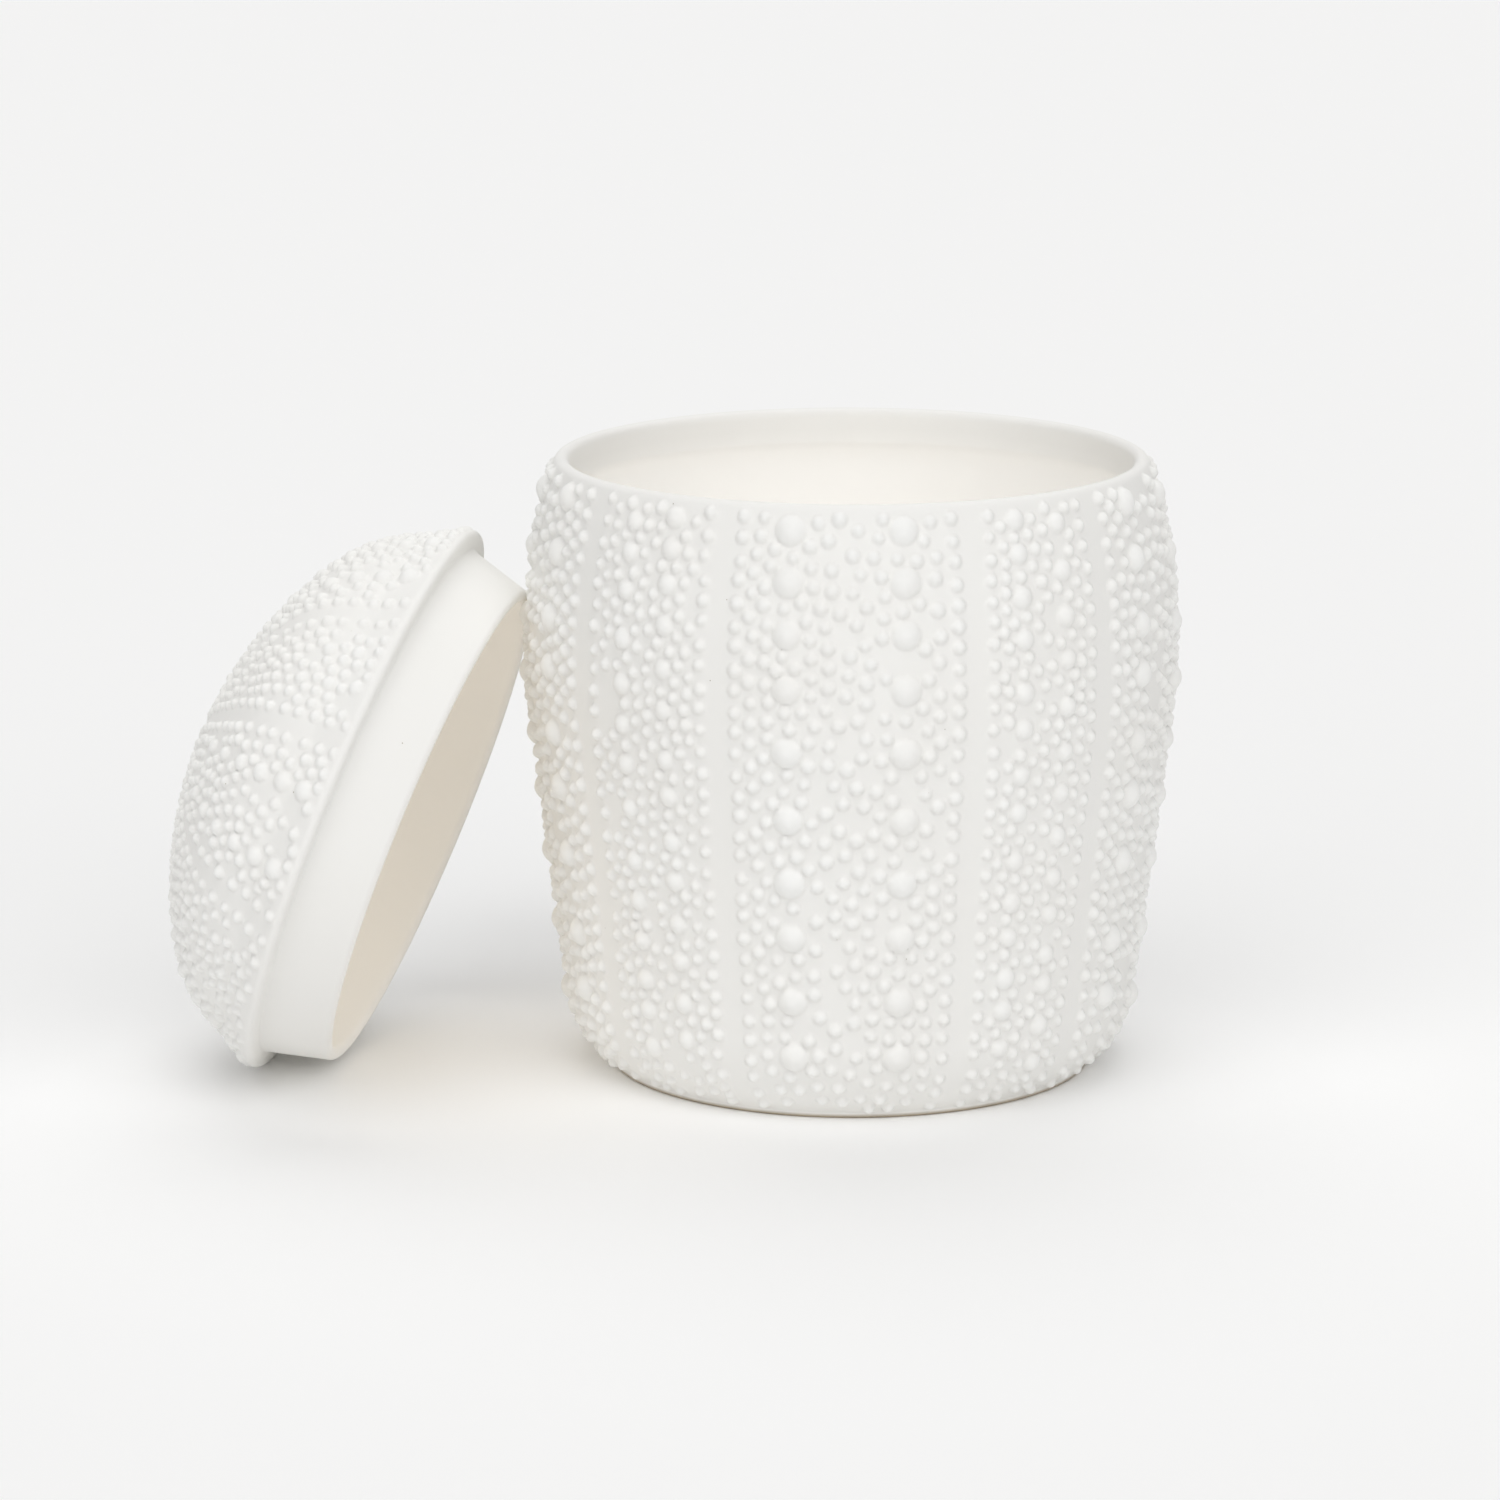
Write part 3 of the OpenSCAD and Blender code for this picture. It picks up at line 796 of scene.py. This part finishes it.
@dataclass
class Lid:
    """The lid: a domed shell on a plain flange, with a tapered collar under it. It leans on the jar's side."""

    flange_r: float = 57.0
    flange_t: float = 2.4
    flare_h: float = 8.0
    dome_r: float = 54.0
    dome_h: float = 34.8
    shoulder_r: float = 27.0
    wall_t: float = 4.0
    collar_r: float = 53.2
    collar_l: float = 13.2
    collar_draw: float = 3.2
    collar_end_t: float = 2.8
    corner_spread: float = 0.35
    tilt: float = 20.8
    turn: float = 9.6
    place: tuple[float, float, float] = (-94.29835, -6.36309, 52.93714)
    large_radius: float = 2.1
    large_rise: float = 1.5
    large_turn: float = 8.4
    top_size: float = 0.7
    middle_radius: float = 1.6
    middle_rise: float = 1.15
    middle_turn: float = 4.0
    strips: tuple[float, ...] = (75.0, 115.5, 145.5, 187.0, 217.0, 259.0, 289.0, 331.0, 361.0, 403.0)
    band_turns: tuple[float, ...] = (95.3, 166.3, 238.0, 310.0, 382.7)
    large_rows: tuple[float, ...] = (0.152, 0.285, 0.425, 0.56, 0.685, 0.79)
    narrow_turns: tuple[float, ...] = (130.5, 202.0, 274.0, 346.0, 419.0)
    middle_rows: tuple[tuple[float, ...], ...] = ((0.114, 0.272, 0.44, 0.587, 0.724), (0.191, 0.358, 0.537, 0.701))
    boss_r: float = 4.2
    boss_rise: float = 0.5
    strip_w: float = 2.9
    small_radius: tuple[float, float] = (1.06, 1.4)
    small_rise: float = 1.05
    narrow_share: float = 0.95
    wide_area: float = 9.7
    narrow_area: float = 9.0
    column_pitch: float = 3.4
    seed: int = 23

    def outline(self) -> Outline:
        """The half section: inside of the dome, collar, flange, its flare, and the dome's outside with a boss on top.

        The flare is straight. It leaves the flange's round edge on a tangent and ends on the dome.
        """
        crown_r = (self.dome_r - self.shoulder_r) ** 2 + self.dome_h ** 2 - self.shoulder_r ** 2
        crown_r /= 2 * (self.dome_h - self.shoulder_r)
        shoulder, crown = (self.dome_r - self.shoulder_r, 0.0), (0.0, self.dome_h - crown_r)
        meet = math.degrees(math.atan2(shoulder[1] - crown[1], shoulder[0]))
        edge_r, end_r = self.flange_t / 2, self.collar_end_t / 2
        edge = (self.flange_r - edge_r, edge_r)
        end = (self.collar_r - self.collar_draw - end_r, end_r - self.collar_l)

        def dome(depth: float, low: float) -> np.ndarray:
            """The shoulder and crown arcs, set in by the depth, from height low up to the axis."""
            start = math.degrees(math.asin(low / (self.shoulder_r - depth)))
            return np.concatenate([arc(shoulder, self.shoulder_r - depth, start, meet),
                                   arc(crown, crown_r - depth, meet, 90)])

        outside = dome(0, self.flare_h)
        away = outside[0] - edge
        flare_turn = math.degrees(math.atan2(away[1], away[0]) - math.acos(edge_r / np.linalg.norm(away)))
        outside[:, 1] += self.boss_rise * np.clip((self.boss_r - outside[:, 0]) / 0.5, 0, 1)
        return Outline.softened(np.concatenate([
            dome(self.wall_t, 0)[::-1], arc(end, end_r, -180, 0), [[self.collar_r, 0]],
            arc(edge, edge_r, -90, flare_turn), outside,
        ]), self.corner_spread)

    def columns(self, wall: TurnedWall, middle: float, turn: float, rows: tuple, size: tuple[float, float],
                limits: tuple[float, float], rng: np.random.Generator) -> Tubercles:
        """Two columns of tubercles either side of a band's middle, smaller towards the top."""
        turns = np.concatenate([np.full(len(row), math.radians(middle + way * turn))
                                for row, way in zip(rows, (-1, 1))])
        shares = np.array([share for row in rows for share in row])
        along = np.array([wall.outline.length_at(share * self.dome_h, *limits) for share in shares])
        scale = 1 - (1 - self.top_size) * (shares - shares.min()) / (shares.max() - shares.min())
        vary = scale * rng.uniform(0.96, 1.05, len(turns))
        return Tubercles(turns, along, size[0] * vary, size[1] * vary)

    def build(self) -> list[bpy.types.Object]:
        """Lays out the relief and builds the segments in the lid's leaning place."""
        rng = np.random.default_rng(self.seed)
        outline = self.outline()
        wall = TurnedWall(outline)
        edge = float(outline.along[np.argmax(outline.points[:, 0])])
        limits = (edge, float(outline.along[-1]))
        first = outline.length_at(self.flange_t + 0.3, edge + 0.2, limits[1])
        last = limits[1] - self.boss_r - 1.6
        relief = Relief(wall, first, last, strip=self.strip_w, small_radius=self.small_radius,
                        small_rise=self.small_rise,
                        small_share={BandKind.WIDE: 1.0, BandKind.NARROW: self.narrow_share},
                        area_each={BandKind.WIDE: self.wide_area, BandKind.NARROW: self.narrow_area},
                        column_pitch=self.column_pitch, widest=self.dome_r, rng=rng)
        edges = np.radians(self.strips + (self.strips[0] + 360,))
        for i in range(5):
            large = self.columns(wall, self.band_turns[i], self.large_turn, (self.large_rows, self.large_rows),
                                 (self.large_radius, self.large_rise), limits, rng)
            relief.bands.append(Band(BandKind.WIDE, edges[2 * i], edges[2 * i + 1], large))
            medium = self.columns(wall, self.narrow_turns[i], self.middle_turn, self.middle_rows,
                                  (self.middle_radius, self.middle_rise), limits, rng)
            relief.bands.append(Band(BandKind.NARROW, edges[2 * i + 1], edges[2 * i + 2], medium))
        inside_to = float(outline.along[np.argmin(outline.points[:, 1])])
        over, round_z = math.radians(90 - self.tilt), math.radians(180 - self.turn)
        lean = np.array([[math.cos(over), 0, math.sin(over)], [0, 1, 0], [-math.sin(over), 0, math.cos(over)]])
        cos_z, sin_z = math.cos(round_z), math.sin(round_z)
        swing = np.array([[cos_z, -sin_z, 0], [sin_z, cos_z, 0], [0, 0, 1]])
        shell = TurnedShell("lid", outline, relief, inside_from=-9, inside_to=inside_to,
                            matrix=swing @ lean, place=np.array(self.place))
        return shell.pieces()


# ---------------------------------------------------------------------------------------------------------------------
# Studio


@dataclass(frozen=True)
class Lamp:
    """A far, broad lamp. Its strength is the share of a white floor's light that it gives when straight overhead."""

    name: str
    towards: tuple[float, float, float]
    strength: float
    spread: float
    colour: str

    def add(self) -> None:
        """Adds it to the scene."""
        data = bpy.data.lights.new(self.name, "SUN")
        data.energy = self.strength * math.pi
        data.angle = math.radians(self.spread)
        data.color = linear_rgb(self.colour)
        lamp = bpy.data.objects.new(self.name, data)
        way = Vector(self.towards)
        lamp.rotation_euler = (-way).to_track_quat("-Z", "Y").to_euler()
        lamp.location = way.normalized() * LAMP_DISTANCE
        bpy.context.scene.collection.objects.link(lamp)


@dataclass(frozen=True)
class Studio:
    """Camera, floor and light at the photograph's view."""

    camera_mm: tuple[float, float, float] = (-19.8, -1155.0, 316.6)
    pitch: float = 12.44
    lens: float = 144.0
    sensor: float = 36.0
    sight_m: float = 50.0
    floor_half_m: float = 40.0
    backdrop: str = "#f3f3f3"
    ambient: str = "#fffefc"
    ambient_strength: float = 0.24
    diffuse_bounces: int = 12  # white porcelain lights its own hollows: Blender's 4 leave them too dark
    lamps: tuple[Lamp, ...] = (
        Lamp("key_left", (-0.171, -0.47, 0.866), 0.283, 50, "#ffffff"),
        Lamp("key_right", (0.47, -0.671, 0.574), 0.265, 50, "#ffffff"),
        Lamp("overhead_back", (0, 0.5, 0.866), 0.3, 50, "#ffffff"),
        Lamp("low_left", (-0.561, -0.801, 0.208), 0.152, 50, "#ffffff"),
    )

    def build(self) -> None:
        """Adds them all."""
        scene = bpy.context.scene
        data = bpy.data.cameras.new("camera")
        data.lens, data.sensor_width, data.clip_end = self.lens, self.sensor, self.sight_m
        camera = bpy.data.objects.new("camera", data)
        camera.location = [v * MM for v in self.camera_mm]
        camera.rotation_euler = (math.radians(90 - self.pitch), 0, 0)
        scene.collection.objects.link(camera)
        scene.camera = camera
        mesh = bpy.data.meshes.new("floor")
        half = self.floor_half_m
        mesh.from_pydata([(-half, -half, 0), (half, -half, 0), (half, half, 0), (-half, half, 0)], [], [(0, 1, 2, 3)])
        floor = bpy.data.objects.new("floor", mesh)
        floor.data.materials.append(PaperFloor().material())
        scene.collection.objects.link(floor)
        for lamp in self.lamps:
            lamp.add()
        self.light_world(scene)
        scene.view_settings.view_transform = "Standard"
        scene.cycles.diffuse_bounces = self.diffuse_bounces

    def light_world(self, scene: bpy.types.Scene) -> None:
        """A faint even light from all round. The camera, gloss and glass see the backdrop's own grey there."""
        world = bpy.data.worlds.new("studio")
        world.use_nodes = True
        tree = world.node_tree
        tree.nodes.clear()
        path = add_node(tree, "ShaderNodeLightPath")
        seen = add_node(tree, "ShaderNodeMath", {".operation": "MAXIMUM"},
                        {0: path.outputs["Is Camera Ray"], 1: path.outputs["Is Glossy Ray"]})
        seen = add_node(tree, "ShaderNodeMath", {".operation": "MAXIMUM"},
                        {0: seen.outputs[0], 1: path.outputs["Is Transmission Ray"]})
        light = add_node(tree, "ShaderNodeBackground", {"Color": rgba(self.ambient), "Strength": self.ambient_strength})
        grey = add_node(tree, "ShaderNodeBackground", {"Color": rgba(self.backdrop), "Strength": 1.0})
        mix = add_node(tree, "ShaderNodeMixShader", links={0: seen.outputs[0], 1: light.outputs[0], 2: grey.outputs[0]})
        add_node(tree, "ShaderNodeOutputWorld", links={"Surface": mix.outputs[0]})
        scene.world = world


def dress(pieces: list[bpy.types.Object], node: str, finish: BisquePorcelain) -> None:
    """Gives the segments of one piece their finish, body and node.

    Args:
        pieces: The segments.
        node: Name of the CAD node and body that they stand for.
        finish: The porcelain.
    """
    material = finish.material()
    for piece in pieces:
        piece.data.materials.append(material)
        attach(piece, node)
        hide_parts(node)
        LOG.info("%s: %d faces, box %s", piece.name, len(piece.data.polygons),
                 np.round([*piece.bound_box[0], *piece.bound_box[6]], 4).tolist())


def main() -> None:
    """Builds the studio, the jar and the lid in order."""
    logging.basicConfig(level=logging.INFO, format="%(message)s")
    Studio().build()
    dress(Jar().build(), "jar", BisquePorcelain("jar_bisque_porcelain", foot_shadow_height=0.9))
    dress(Lid().build(), "lid", BisquePorcelain("lid_bisque_porcelain", inner="#fefbf6"))


if __name__ == "__main__":
    main()
